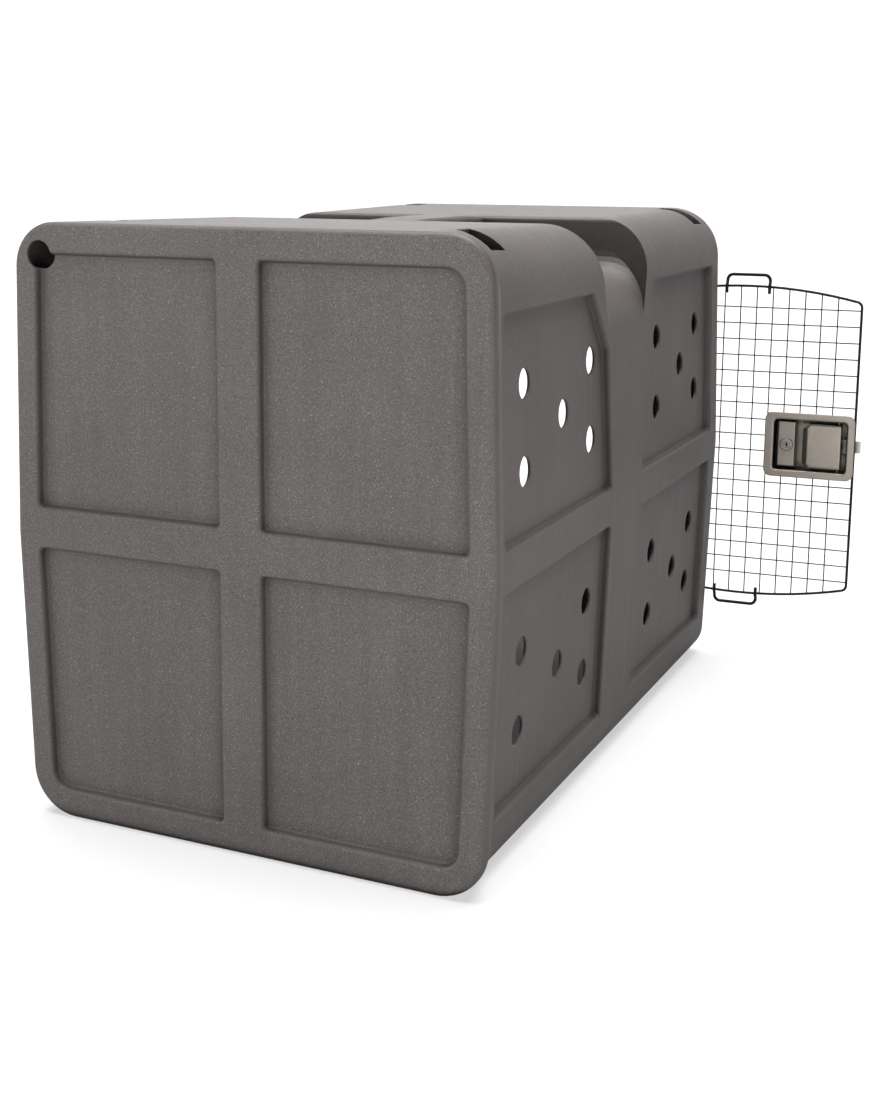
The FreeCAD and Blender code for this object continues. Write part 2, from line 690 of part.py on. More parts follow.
def latch_pan():
    """Pressed pan: flange, deep dish, floor holes and four studs behind the flange."""
    low = door_point(PLATE_S0, PLATE_W1, -PLATE_HALF_H)
    high = door_point(PLATE_S1, PLATE_W0, PLATE_HALF_H)
    flange = rounded_box(low, high, PLATE_R)
    outer = door_box(DISH_S0 - SHEET, DISH_S1 + SHEET, DISH_FLOOR - SHEET, PLATE_W0, -DISH_HALF_H - SHEET,
                     DISH_HALF_H + SHEET)
    outer = outer.makeFillet(DISH_R + SHEET, [e for e in outer.Edges if e.BoundBox.YLength > 20.0])
    inner = door_box(DISH_S0, DISH_S1, DISH_FLOOR, PLATE_W1 + 5.0, -DISH_HALF_H, DISH_HALF_H)
    inner = inner.makeFillet(DISH_R, [e for e in inner.Edges if e.BoundBox.YLength > 20.0])
    pan = flange.fuse(outer).cut(inner).removeSplitter()
    for rim, radius in ((True, ROLL_R), (False, 1.2)):
        soft = []
        for edge in pan.Edges:
            box = edge.BoundBox
            at_front = box.YLength < 1e-6 and abs(box.YMin + PLATE_W1) < 1e-6
            inside = box.XMin > DISH_S0 - 0.1 and box.XMax < DISH_S1 + 0.1
            inside = inside and abs(box.ZMin - DOOR_Z) < DISH_HALF_H + 0.1 and abs(box.ZMax - DOOR_Z) < DISH_HALF_H + 0.1
            if at_front and inside == rim:
                soft.append(edge)
        pan = pan.makeFillet(radius, soft)
    cuts = [
        door_box(DISH_S1 - 2.0, DISH_S1 + 4.0, BOLT_W0 - 0.1, BOLT_W1 + 0.4, -BOLT_HALF_H - 0.4, BOLT_HALF_H + 0.4),
        Part.makeCylinder(BARREL_D / 2.0 + 0.1, 12.0, door_point(LOCK_MID, DISH_FLOOR + 4.0, 0.0), Y_DIR),
        Part.makeCylinder(PIVOT_D / 2.0, 2.0 * DISH_HALF_H + 12.0, door_point(PIVOT_S, PIVOT_W, -DISH_HALF_H - 6.0)),
    ]
    pan = pan.cut(cuts)
    studs = []
    for s in STUD_S:
        for z in (-STUD_Z, STUD_Z):
            studs.append(Part.makeCylinder(2.0, 9.2, door_point(s, PLATE_W0 + 0.2, z), Y_DIR))
    return pan.fuse(studs).removeSplitter()


def clamp_bars():
    """Two bars behind the mesh that hold the pan."""
    solids = []
    for side in (-1.0, 1.0):
        z0 = side * STUD_Z - 3.3
        bar = door_box(PLATE_S0 + 3.0, DISH_S1, -1.55, -0.05, z0, z0 + 6.6)
        for s in STUD_S:
            bar = bar.cut(Part.makeCylinder(2.2, 4.0, door_point(s, 1.0, side * STUD_Z), Y_DIR))
        solids.append(bar)
    return Part.makeCompound(solids)


def clamp_nuts():
    """Nuts on the pan's studs."""
    solids = []
    for s in STUD_S:
        for side in (-1.0, 1.0):
            solids.append(hexagon_nut(7.0, 3.2, 2.0, door_point(s, -1.55, side * STUD_Z), Y_DIR))
    return Part.makeCompound(solids)


def lock_block():
    """Raised block that carries the key cylinder."""
    block = door_box(LOCK_S0, LOCK_S1, DISH_FLOOR, LOCK_W, LOCK_MID_Z - LOCK_HALF_H, LOCK_MID_Z + LOCK_HALF_H)
    block = block.makeFillet(1.6, [e for e in block.Edges if abs(e.BoundBox.YMax + DISH_FLOOR) > 1e-6])
    return block.cut(Part.makeCylinder(BARREL_D / 2.0 + 0.1, 40.0, door_point(LOCK_MID, LOCK_W + 5.0, 0.0), Y_DIR))


def lock_barrel():
    """Cylinder body with a front collar."""
    body = Part.makeCylinder(BARREL_D / 2.0, 38.5, door_point(LOCK_MID, LOCK_W, 0.0), Y_DIR)
    collar = Part.makeCone(COLLAR_D / 2.0 - 1.2, COLLAR_D / 2.0, 1.4, door_point(LOCK_MID, LOCK_W + 1.4, 0.0), Y_DIR)
    bore = Part.makeCylinder(PLUG_D / 2.0 + RUN, 60.0, door_point(LOCK_MID, LOCK_W + 10.0, 0.0), Y_DIR)
    return body.fuse(collar).removeSplitter().cut(bore)


def lock_nut():
    """Large thin nut behind the pan floor."""
    return hexagon_nut(24.0, 4.0, BARREL_D / 2.0, door_point(LOCK_MID, DISH_FLOOR - SHEET, 0.0), Y_DIR)


def lock_plug():
    """Turning plug with a keyway."""
    plug = Part.makeCylinder(PLUG_D / 2.0, 41.5, door_point(LOCK_MID, LOCK_W + 1.0, 0.0), Y_DIR)
    slot = door_box(LOCK_MID - 0.8, LOCK_MID + 0.8, LOCK_W - 14.0, LOCK_W + 3.0, -3.8, 3.8)
    ward = door_box(LOCK_MID - 1.7, LOCK_MID + 1.7, LOCK_W - 14.0, LOCK_W + 3.0, -1.1, 1.1)
    tip = Part.makeCylinder(2.4, 10.0, door_point(LOCK_MID, LOCK_W - 33.5, 0.0), Y_DIR)
    return plug.cut([slot, ward, tip])


def lock_cam():
    """Flat tongue on the end of the plug."""
    arm = door_box(LOCK_MID - 6.0, LOCK_MID + 6.0, CAM_W - 2.0, CAM_W, 0.0, 24.0)
    tongue = arm.fuse(Part.makeCylinder(8.0, 2.0, door_point(LOCK_MID, CAM_W, 0.0), Y_DIR)).removeSplitter()
    return tongue.cut(Part.makeCylinder(2.6, 4.0, door_point(LOCK_MID, CAM_W + 1.0, 0.0), Y_DIR))


def cam_screw():
    """Screw that holds the tongue."""
    head = Part.makeCylinder(4.2, 2.6, door_point(LOCK_MID, CAM_W - 2.0, 0.0), Y_DIR)
    head = head.makeFillet(0.8, [e for e in head.Edges if e.BoundBox.YLength < 1e-6
                                 and abs(e.BoundBox.YMin + CAM_W - 4.6) < 1e-6])
    shank = Part.makeCylinder(2.4, 7.0, door_point(LOCK_MID, CAM_W + 5.0, 0.0), Y_DIR)
    screw = head.fuse(shank).removeSplitter()
    drive = door_box(LOCK_MID - 3.2, LOCK_MID + 3.2, CAM_W - 5.0, CAM_W - 3.6, -0.6, 0.6)
    cross = door_box(LOCK_MID - 0.6, LOCK_MID + 0.6, CAM_W - 5.0, CAM_W - 3.6, -3.2, 3.2)
    return screw.cut([drive, cross])


def pivot_pin():
    """Pin that the paddle turns on, pressed through the pan's side walls."""
    length = 2.0 * (DISH_HALF_H + SHEET)
    return Part.makeCylinder(PIVOT_D / 2.0, length, door_point(PIVOT_S, PIVOT_W, -length / 2.0))


def paddle():
    """Flush paddle: faced plate, pull lip, side flanges on the pin and an arm down to the bolt."""
    skin = PADDLE_SKIN
    half = PADDLE_HALF_H
    body = paddle_face(PADDLE_S0, PADDLE_S1, PADDLE_W1 - 8.0, PADDLE_W1, half, 5.5, 2.6)
    hollow = paddle_face(PADDLE_S0 - 4.0, PADDLE_S1 - skin, PADDLE_W1 - 12.0, PADDLE_W1 - skin, half - skin, 3.7, 1.0)
    body = body.cut(hollow)
    lip_outline = [(PADDLE_S0 + 4.0, PADDLE_W1 - skin), (PADDLE_S0 - 2.0, PADDLE_W1 - skin),
                   (PADDLE_S0 - LIP_REACH + 1.2, PADDLE_W1 - 5.4), (PADDLE_S0 - LIP_REACH, PADDLE_W1 - 4.0),
                   (PADDLE_S0 - 3.0, PADDLE_W1), (PADDLE_S0 + 4.0, PADDLE_W1)]
    lip_wire = rounded_wire([(s, -w) for s, w in lip_outline], [0.0, 3.0, 0.5, 0.5, 6.0, 0.0],
                            lambda a, b: V(a, b, DOOR_Z - LIP_HALF_H))
    lip = Part.Face(lip_wire).extrude(V(0, 0, 2.0 * LIP_HALF_H))
    low = door_point(PADDLE_S0 - LIP_REACH, PADDLE_W1, -LIP_HALF_H)
    lip = lip.common(rounded_box(low, door_point(PADDLE_S0 + 20.0, PADDLE_W1 - 8.0, LIP_HALF_H), 5.0))
    flange_outline = [(PADDLE_S0 - 10.8, -11.0), (PADDLE_S1, -9.0), (PADDLE_S1, -2.4), (PADDLE_S0 - 2.0, -2.4),
                      (PADDLE_S0 - 10.8, -3.4)]
    flange_wire = rounded_wire([(s, -w) for s, w in flange_outline], [3.4, 3.4, 0.0, 0.0, 3.4],
                               lambda a, b: V(a, b, DOOR_Z))
    flange = Part.Face(flange_wire).extrude(V(0, 0, skin))
    flanges = []
    for level in (-half, half - skin):
        piece = flange.copy()
        piece.translate(V(0, 0, level))
        flanges.append(piece)
    arm = door_box(PIVOT_S - 2.0, PIVOT_S + 2.0, -24.3, PADDLE_W1 - 1.0, -4.5, 4.5)
    boss = Part.makeCylinder(4.0, 9.0, door_point(PIVOT_S, PIVOT_W, -4.5))
    body = body.fuse([lip, arm, boss] + flanges).removeSplitter()
    bore = Part.makeCylinder(PIVOT_D / 2.0 + RUN, 100.0, door_point(PIVOT_S, PIVOT_W, -50.0))
    return body.cut(bore)


def paddle_face(s0, s1, w0, w1, half, long_r, end_r):
    """Block with its two long front edges and its right front edge rounded."""
    block = door_box(s0, s1, w0, w1, -half, half)
    for upright, radius in ((False, long_r), (True, end_r)):
        soft = []
        for edge in block.Edges:
            box = edge.BoundBox
            front = box.YLength < 1e-6 and abs(box.YMin + w1) < 1e-6
            if upright and front and box.ZLength > half and box.XMin > s0 + 1.0:
                soft.append(edge)
            if not upright and front and box.XLength > 10.0:
                soft.append(edge)
        block = block.makeFillet(radius, soft)
    return block


def slide_bolt():
    """Flat spring bolt with a bevelled nose, a window for the paddle's arm and a guide rod."""
    bar = door_box(BOLT_S0, BOLT_S1, BOLT_W0, BOLT_W1, -BOLT_HALF_H, BOLT_HALF_H)
    nose = Part.Face(Part.makePolygon([
        door_point(BOLT_S1 + 1.0, BOLT_W0 - 1.0, -20.0), door_point(BOLT_S1 + 1.0, BOLT_W1 - 1.2, -20.0),
        door_point(BOLT_S1 - 7.0, BOLT_W0 - 1.0, -20.0), door_point(BOLT_S1 + 1.0, BOLT_W0 - 1.0, -20.0)]))
    bar = bar.cut(nose.extrude(V(0, 0, 40.0)))
    window = door_box(PIVOT_S - 5.9, PIVOT_S + 4.2, BOLT_W0 - 1.0, BOLT_W1 + 1.0, -5.0, 5.0)
    rod = Part.makeCylinder(ROD_D / 2.0, BOLT_S0 - STOP_S, door_point(STOP_S, BOLT_MID_W, 0.0), X_DIR)
    return bar.cut(window).fuse(rod).removeSplitter()


def bolt_spring():
    """Compression spring on the guide rod."""
    wire_r = 0.4
    coil_r = ROD_D / 2.0 + 0.6
    length = BOLT_S0 - STOP_S - SHEET - 2.0 * wire_r - 0.4
    helix = Part.makeHelix(2.6, length, coil_r)
    ring = Part.Wire([Part.makeCircle(wire_r, V(coil_r, 0, 0), V(0, 1, 0.18))])
    coil = Part.Wire(helix.Edges).makePipeShell([ring], True, True)
    coil.Placement = FreeCAD.Placement(door_point(STOP_S + SHEET + wire_r + 0.2, BOLT_MID_W, 0.0),
                                       FreeCAD.Rotation(Z_DIR, X_DIR))
    return coil


def bolt_guide():
    """Bridge over the bolt, riveted to the pan floor."""
    s0 = GUIDE_S0
    s1 = s0 + GUIDE_W
    top = BOLT_W1 + 0.1
    outer = door_box(s0, s1, DISH_FLOOR, top + SHEET, -BOLT_HALF_H - 0.1 - SHEET, BOLT_HALF_H + 0.1 + SHEET)
    inner = door_box(s0 - 1.0, s1 + 1.0, DISH_FLOOR - 1.0, top, -BOLT_HALF_H - 0.1, BOLT_HALF_H + 0.1)
    feet = []
    for side in (-1.0, 1.0):
        z0 = min(side * (BOLT_HALF_H + SHEET), side * (BOLT_HALF_H + 9.0))
        foot = door_box(s0, s1, DISH_FLOOR, DISH_FLOOR + SHEET, z0, z0 + 9.0 - SHEET)
        feet.append(foot)
    return outer.cut(inner).fuse(feet).removeSplitter()


def spring_stop():
    """Upright tab that the spring pushes against."""
    plate = door_box(STOP_S, STOP_S + SHEET, DISH_FLOOR, BOLT_MID_W + 6.0, -11.0, 11.0)
    feet = []
    for z0 in (-11.0, 4.0):
        feet.append(door_box(STOP_S - 7.0, STOP_S + SHEET, DISH_FLOOR, DISH_FLOOR + SHEET, z0, z0 + 7.0))
    hole = Part.makeCylinder(ROD_D / 2.0 + 0.2, 10.0, door_point(STOP_S - 4.0, BOLT_MID_W, 0.0), X_DIR)
    return plate.fuse(feet).removeSplitter().cut(hole)


def latch_rivets():
    """Dome rivets of the guide and the stop."""
    guide_mid = GUIDE_S0 + GUIDE_W / 2.0
    spots = [(guide_mid, -14.9), (guide_mid, 14.9), (STOP_S - 3.6, -7.5), (STOP_S - 3.6, 7.5)]
    solids = []
    for s, z in spots:
        seat = DISH_FLOOR + SHEET
        ball = Part.makeSphere(2.3, door_point(s, seat - 0.9, z))
        solids.append(ball.common(Part.makeCylinder(2.2, 3.0, door_point(s, seat + 3.0, z), Y_DIR)))
    return Part.makeCompound(solids)


# ---------------------------------------------------------------- export

def main():
    os.makedirs("parts", exist_ok=True)
    frame = frame_closed()
    pieces = {
        "shell": shell(),
        "hinge_clamps": hinge_clamps(),
        "hinge_bolts": hinge_bolts(),
        "hinge_washers": hinge_washers(),
        "hinge_nuts": hinge_nuts(),
        "door_frame": swing(frame),
        "door_mesh_upright": swing(mesh_vertical(frame)),
        "door_mesh_cross": swing(mesh_horizontal(frame)),
        "bail_top": swing(bail(1.0)),
        "bail_bottom": swing(bail(-1.0)),
        "latch_pan": swing(latch_pan()),
        "latch_clamp_bars": swing(clamp_bars()),
        "latch_clamp_nuts": swing(clamp_nuts()),
        "lock_block": swing(lock_block()),
        "lock_barrel": swing(lock_barrel()),
        "lock_nut": swing(lock_nut()),
        "lock_plug": swing(lock_plug()),
        "lock_cam": swing(lock_cam()),
        "cam_screw": swing(cam_screw()),
        "paddle": swing(paddle()),
        "paddle_pin": swing(pivot_pin()),
        "slide_bolt": swing(slide_bolt()),
        "bolt_spring": swing(bolt_spring()),
        "bolt_guide": swing(bolt_guide()),
        "spring_stop": swing(spring_stop()),
        "latch_rivets": swing(latch_rivets()),
    }
    for name, shape in pieces.items():
        solids = shape.Solids
        valid = all(s.isValid() for s in solids)
        print(name, "solids", len(solids), "valid", valid, "volume", round(shape.Volume, 1),
              "faces", len(shape.Faces))
        shape.exportStep("parts/" + name + ".step")


main()
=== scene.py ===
import json
import math

import bmesh
import bpy
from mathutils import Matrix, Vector


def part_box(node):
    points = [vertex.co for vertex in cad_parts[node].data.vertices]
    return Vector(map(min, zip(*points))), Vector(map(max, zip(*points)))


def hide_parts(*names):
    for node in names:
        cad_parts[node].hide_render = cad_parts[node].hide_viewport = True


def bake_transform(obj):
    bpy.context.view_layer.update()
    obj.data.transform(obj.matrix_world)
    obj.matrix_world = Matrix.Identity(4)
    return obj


# Looks for the pet transport carrier.  Metres.  X is the width, Y the length with the doorway at -Y,
# Z is up, and the base stands on z = 0.

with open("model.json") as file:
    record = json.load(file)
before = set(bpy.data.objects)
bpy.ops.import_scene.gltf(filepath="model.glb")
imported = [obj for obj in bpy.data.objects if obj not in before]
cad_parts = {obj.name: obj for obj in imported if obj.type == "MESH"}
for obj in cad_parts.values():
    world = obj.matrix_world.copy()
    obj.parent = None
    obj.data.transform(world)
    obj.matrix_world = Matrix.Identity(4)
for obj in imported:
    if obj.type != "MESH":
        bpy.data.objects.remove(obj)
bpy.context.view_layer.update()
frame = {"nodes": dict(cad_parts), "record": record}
NODES = frame["nodes"]

# ---- camera ----
CAMERA_AT = (-0.87769, 1.97013, 0.79009)
CAMERA_TURN = (79.65053, -0.23653, -154.57699)    # degrees about X, Y and Z
CAMERA_LENS = 51.4024         # for a sensor 36 mm high
CAMERA_SHIFT = (0.042764, -0.092864)
SENSOR = 36.0
FAR_CLIP = 100.0

# ---- plastic ----
FLECK_SCALE = 560.0          # flecks of about 2 mm
PEBBLE_SCALE = 900.0
CLOUD_SCALE = 7.0
WAVE_SCALE = 4.0
DRAG_STRETCH = (60.0, 190.0, 2.5)    # streaks run up and down
END_ZONE = (0.43, 0.45)      # half lengths between which a wall that faces along Y becomes an end wall
SQUARE_ON = (0.75, 0.95)     # cosines between which a wall counts as facing along Y
PLASTIC_EDGE = 0.0014        # radius that the edges seem to have
PLASTIC_CORNER = 0.020       # reach of the painted shade in the corners
PEBBLE_DEPTH = 0.0004
DRAG_DEPTH = 0.0006
WAVE_DEPTH = 0.012

CORNER_SAMPLES = 5
EDGE_SAMPLES = 4

# ---- metal ----
STEEL_EDGE = 0.0011
STEEL_CORNER = 0.016
GRAIN_DEPTH = 0.0002

# ---- spring behind the latch ----
SLIDE_AXIS = (0.998719, 0.050593, 0.0)    # the way the bolt draws back
SPRING_R = 0.0026            # from the middle of the coil to the middle of its wire
SPRING_WIRE = 0.0004         # radius of the wire
SPRING_TURNS = 7
SPRING_STEPS = 24            # rings in a turn
SPRING_SIDES = 8
SPRING_SLACK = 0.0004        # play at each end

# ---- light ----
AMBIENT = 0.03
FRONT = 7.2                  # low band of light from the plain end, more from +X
FRONT_FROM = (0.50, 0.87)
FRONT_SPAN = (0.42, 0.95)    # cosines off its middle where the band starts and is full
FRONT_TOP = 0.34             # sine of the height where it has faded out
BACK = 3.5                   # paler band behind the far end
BACK_FROM = (0.40, -0.917)
BACK_SPAN = (0.70, 0.96)
BACK_TOP = 0.55
BACKDROP = 1.08
OVERHEAD = 6.0               # very wide sun
OVERHEAD_FROM = (0.02, -0.14, 1.0)
OVERHEAD_SPREAD = 54.0       # degrees
BESIDE = 3.6                 # watts of a soft panel beside the plain end, which fades along the side
BESIDE_AT = (-1.05, 1.00, 0.40)
BESIDE_TO = (-0.30, 0.40, 0.30)
BESIDE_SIZE = 0.6
FLOOR_HALF = 14.0
FLOOR_GLOW = 0.55            # keeps the floor pale where the eye meets it, without lighting the part

WHITE = (1.0, 1.0, 1.0)


# ---------------------------------------------------------------- node helpers

def new_material(name):
    """Empty node material and its principled shader."""
    material = bpy.data.materials.new(name)
    material.use_nodes = True
    tree = material.node_tree
    tree.nodes.clear()
    output = tree.nodes.new("ShaderNodeOutputMaterial")
    shader = tree.nodes.new("ShaderNodeBsdfPrincipled")
    tree.links.new(shader.outputs["BSDF"], output.inputs["Surface"])
    return material, tree, shader


def coordinates(tree, scale=(1.0, 1.0, 1.0)):
    """Object coordinates, stretched by scale."""
    source = tree.nodes.new("ShaderNodeTexCoord")
    mapping = tree.nodes.new("ShaderNodeMapping")
    mapping.inputs["Scale"].default_value = scale
    tree.links.new(source.outputs["Object"], mapping.inputs["Vector"])
    return mapping.outputs["Vector"]


def noise(tree, vector, scale, detail=2.0, roughness=0.5):
    """Noise value output."""
    node = tree.nodes.new("ShaderNodeTexNoise")
    node.inputs["Scale"].default_value = scale
    node.inputs["Detail"].default_value = detail
    node.inputs["Roughness"].default_value = roughness
    tree.links.new(vector, node.inputs["Vector"])
    return node.outputs["Fac"]


def ramp(tree, value, stops):
    """Colour ramp over a value; stops are (position, colour) pairs."""
    node = tree.nodes.new("ShaderNodeValToRGB")
    elements = node.color_ramp.elements
    while len(elements) > 1:
        elements.remove(elements[-1])
    elements[0].position = stops[0][0]
    elements[0].color = (*stops[0][1], 1.0)
    for position, colour in stops[1:]:
        element = elements.new(position)
        element.color = (*colour, 1.0)
    tree.links.new(value, node.inputs["Fac"])
    return node.outputs["Color"]


def mix(tree, factor, a, b, mode="MIX"):
    """Mix of two colour sockets; the factor may be a socket or a number."""
    node = tree.nodes.new("ShaderNodeMix")
    node.data_type = "RGBA"
    node.blend_type = mode
    if isinstance(factor, bpy.types.NodeSocket):
        tree.links.new(factor, node.inputs[0])
    else:
        node.inputs[0].default_value = factor
    tree.links.new(a, node.inputs[6])
    tree.links.new(b, node.inputs[7])
    return node.outputs[2]


def times(tree, colour, factor):
    """One colour multiplied by another."""
    return mix(tree, 1.0, colour, factor, "MULTIPLY")


def arithmetic(tree, operation, a, b, clamp=False):
    """Math node of two values; each may be a socket or a number."""
    node = tree.nodes.new("ShaderNodeMath")
    node.operation = operation
    node.use_clamp = clamp
    for socket, value in ((node.inputs[0], a), (node.inputs[1], b)):
        if isinstance(value, bpy.types.NodeSocket):
            tree.links.new(value, socket)
        else:
            socket.default_value = value
    return node.outputs[0]


def fit_range(tree, value, low, high, to_low, to_high):
    """Value remapped and clamped from one range to another."""
    node = tree.nodes.new("ShaderNodeMapRange")
    tree.links.new(value, node.inputs["Value"])
    node.inputs["From Min"].default_value = low
    node.inputs["From Max"].default_value = high
    node.inputs["To Min"].default_value = to_low
    node.inputs["To Max"].default_value = to_high
    return node.outputs["Result"]


def bump(tree, height, distance, strength, normal=None):
    """Bump from a height value."""
    node = tree.nodes.new("ShaderNodeBump")
    node.inputs["Distance"].default_value = distance
    if isinstance(strength, bpy.types.NodeSocket):
        tree.links.new(strength, node.inputs["Strength"])
    else:
        node.inputs["Strength"].default_value = strength
    tree.links.new(height, node.inputs["Height"])
    if normal is not None:
        tree.links.new(normal, node.inputs["Normal"])
    return node.outputs["Normal"]


def seen_directly(tree, plain, glowing, target):
    """Feed target from glowing for rays straight from the eye and from plain for all other light."""
    path = tree.nodes.new("ShaderNodeLightPath")
    choose = tree.nodes.new("ShaderNodeMixShader")
    tree.links.new(path.outputs["Is Camera Ray"], choose.inputs[0])
    tree.links.new(plain, choose.inputs[1])
    tree.links.new(glowing, choose.inputs[2])
    tree.links.new(choose.outputs[0], target)


# ---------------------------------------------------------------- masks and finishes

def real_normal(tree):
    """The surface's own normal."""
    return tree.nodes.new("ShaderNodeNewGeometry").outputs["Normal"]


def along_y(tree, vector, span):
    """Mask that grows over span as a vector reaches along Y, either way."""
    parts = tree.nodes.new("ShaderNodeSeparateXYZ")
    tree.links.new(vector, parts.inputs[0])
    reach = arithmetic(tree, "ABSOLUTE", parts.outputs["Y"], 0.0)
    return fit_range(tree, reach, span[0], span[1], 0.0, 1.0)


def shaded_in_corners(tree, colour, reach, low, darkest):
    """Painted shade: darken a colour where the surface lies in a corner or a narrow recess."""
    cavity = tree.nodes.new("ShaderNodeAmbientOcclusion")
    cavity.samples = CORNER_SAMPLES
    cavity.inputs["Distance"].default_value = reach
    return times(tree, colour, ramp(tree, cavity.outputs["AO"], [(low, (darkest,) * 3), (0.90, WHITE)]))


def soft_edges(tree, radius):
    """Normal that runs smoothly round the edges."""
    edges = tree.nodes.new("ShaderNodeBevel")
    edges.samples = EDGE_SAMPLES
    edges.inputs["Radius"].default_value = radius
    return edges.outputs["Normal"]


def turned(tree, edges):
    """How far the softened normal has turned away from the real one, which marks the edges."""
    along = tree.nodes.new("ShaderNodeVectorMath")
    along.operation = "DOT_PRODUCT"
    tree.links.new(real_normal(tree), along.inputs[0])
    tree.links.new(edges, along.inputs[1])
    return arithmetic(tree, "SUBTRACT", 1.0, along.outputs["Value"], True)


# ---------------------------------------------------------------- materials

def moulded_plastic():
    """Grey moulded plastic: flecked and pebbled on the flat ends, plainer and streaked elsewhere."""
    material, tree, shader = new_material("moulded_plastic")
    place = coordinates(tree)
    lengthwise = along_y(tree, real_normal(tree), SQUARE_ON)
    ends = arithmetic(tree, "MULTIPLY", lengthwise, along_y(tree, place, END_ZONE))
    steps = arithmetic(tree, "SUBTRACT", lengthwise, ends, True)
    edges = soft_edges(tree, PLASTIC_EDGE)
    fleck = noise(tree, place, FLECK_SCALE, 3.0, 0.75)
    cloud = noise(tree, place, CLOUD_SCALE, 3.0, 0.5)
    drag = noise(tree, coordinates(tree, DRAG_STRETCH), 1.0, 3.0, 0.6)
    plain = ramp(tree, fleck, [(0.34, (0.080, 0.071, 0.068)), (0.50, (0.104, 0.093, 0.090)),
                               (0.66, (0.126, 0.114, 0.110))])
    flecked = ramp(tree, fleck, [(0.30, (0.020, 0.018, 0.017)), (0.40, (0.096, 0.086, 0.083)),
                                 (0.57, (0.114, 0.103, 0.100)), (0.63, (0.160, 0.147, 0.142)),
                                 (0.74, (0.400, 0.380, 0.370))])
    colour = mix(tree, ends, plain, flecked)
    tint = ramp(tree, cloud, [(0.35, (0.93, 0.93, 0.93)), (0.65, (1.06, 1.05, 1.04))])
    streaks = ramp(tree, drag, [(0.35, (0.93, 0.93, 0.93)), (0.65, (1.06, 1.06, 1.06))])
    # painted shade: walls that face along Y away from the flat ends, such as recess and vent walls, are
    # darkened
    shade = ramp(tree, steps, [(0.0, WHITE), (1.0, (0.36, 0.35, 0.35))])
    # painted highlight: colour lightened up to 1.9 times along the edges, where the softened normal turns
    painted_edge_highlight = ramp(tree, turned(tree, edges), [(0.03, WHITE), (0.25, (1.9, 1.9, 1.9))])
    for factor in (tint, streaks, shade, painted_edge_highlight):
        colour = times(tree, colour, factor)
    # painted shade in the corners and narrow recesses of the plastic
    colour = shaded_in_corners(tree, colour, PLASTIC_CORNER, 0.50, 0.12)
    tree.links.new(colour, shader.inputs["Base Color"])
    tree.links.new(fit_range(tree, drag, 0.3, 0.7, 0.44, 0.58), shader.inputs["Roughness"])
    pebble = noise(tree, place, PEBBLE_SCALE, 2.0, 0.6)
    wave = noise(tree, place, WAVE_SCALE, 1.0, 0.4)
    skin = bump(tree, pebble, PEBBLE_DEPTH, fit_range(tree, ends, 0.0, 1.0, 0.25, 0.9), edges)
    streak = bump(tree, drag, DRAG_DEPTH, 0.12, skin)
    flow = bump(tree, wave, WAVE_DEPTH, 0.12, streak)
    tree.links.new(flow, shader.inputs["Normal"])
    shader.inputs["Specular IOR Level"].default_value = 0.34
    return material


def coated_wire():
    """Very dark satin coating on steel wire."""
    material, tree, shader = new_material("coated_wire")
    place = coordinates(tree)
    mottle = noise(tree, place, 300.0, 3.0, 0.6)
    colour = ramp(tree, mottle, [(0.3, (0.003, 0.004, 0.003)), (0.7, (0.009, 0.010, 0.008))])
    tree.links.new(colour, shader.inputs["Base Color"])
    tree.links.new(fit_range(tree, mottle, 0.3, 0.7, 0.34, 0.50), shader.inputs["Roughness"])
    tree.links.new(bump(tree, noise(tree, place, 1500.0, 2.0), GRAIN_DEPTH, 0.3), shader.inputs["Normal"])
    shader.inputs["Specular IOR Level"].default_value = 0.2
    return material


def satin_steel(name, colour, rough, stretch, grain=0.12):
    """Brushed steel whose grain runs along the axis that stretch keeps low."""
    material, tree, shader = new_material(name)
    brushed = noise(tree, coordinates(tree, stretch), 1.0, 4.0, 0.7)
    cloud = noise(tree, coordinates(tree), 30.0, 3.0, 0.55)
    dark = tuple(c * 0.84 for c in colour)
    light = tuple(min(1.0, c * 1.12) for c in colour)
    base = ramp(tree, brushed, [(0.3, dark), (0.7, light)])
    tint = ramp(tree, cloud, [(0.35, (0.94, 0.94, 0.95)), (0.65, (1.04, 1.03, 1.02))])
    # painted shade darkens the steel in corners and narrow recesses
    corner_shaded = shaded_in_corners(tree, times(tree, base, tint), STEEL_CORNER, 0.40, 0.05)
    tree.links.new(corner_shaded, shader.inputs["Base Color"])
    shader.inputs["Metallic"].default_value = 1.0
    sheen = fit_range(tree, brushed, 0.3, 0.7, rough - 0.05, rough + 0.07)
    tree.links.new(sheen, shader.inputs["Roughness"])
    lines = bump(tree, brushed, GRAIN_DEPTH, grain, soft_edges(tree, STEEL_EDGE))
    tree.links.new(lines, shader.inputs["Normal"])
    return material


MATERIALS = {
    "shell_plastic": moulded_plastic(),
    "coated_wire": coated_wire(),
    "latch_steel": satin_steel("latch_steel", (0.322, 0.288, 0.253), 0.36, (40.0, 2500.0, 2500.0)),
    "lock_chrome": satin_steel("lock_chrome", (0.36, 0.345, 0.32), 0.24, (900.0,) * 3, 0.06),
    "hardware_steel": satin_steel("hardware_steel", (0.46, 0.45, 0.43), 0.34, (700.0,) * 3, 0.10),
}


def paint_nodes():
    """Give each CAD node the material of its slot."""
    slots = {part["node"]: part["material_slot"] for part in frame["record"]["subparts"]}
    for name, node in NODES.items():
        material = MATERIALS[slots[name]]
        if not node.data.materials:
            node.data.materials.append(material)
        for i in range(len(node.data.materials)):
            node.data.materials[i] = material


# ---------------------------------------------------------------- pieces

def spring_ring(centre, outward, along):
    """Points of one section through the spring's wire."""
    ring = []
    for side in range(SPRING_SIDES):
        turn = 2.0 * math.pi * side / SPRING_SIDES
        ring.append(centre + (outward * math.cos(turn) + along * math.sin(turn)) * SPRING_WIRE)
    return ring


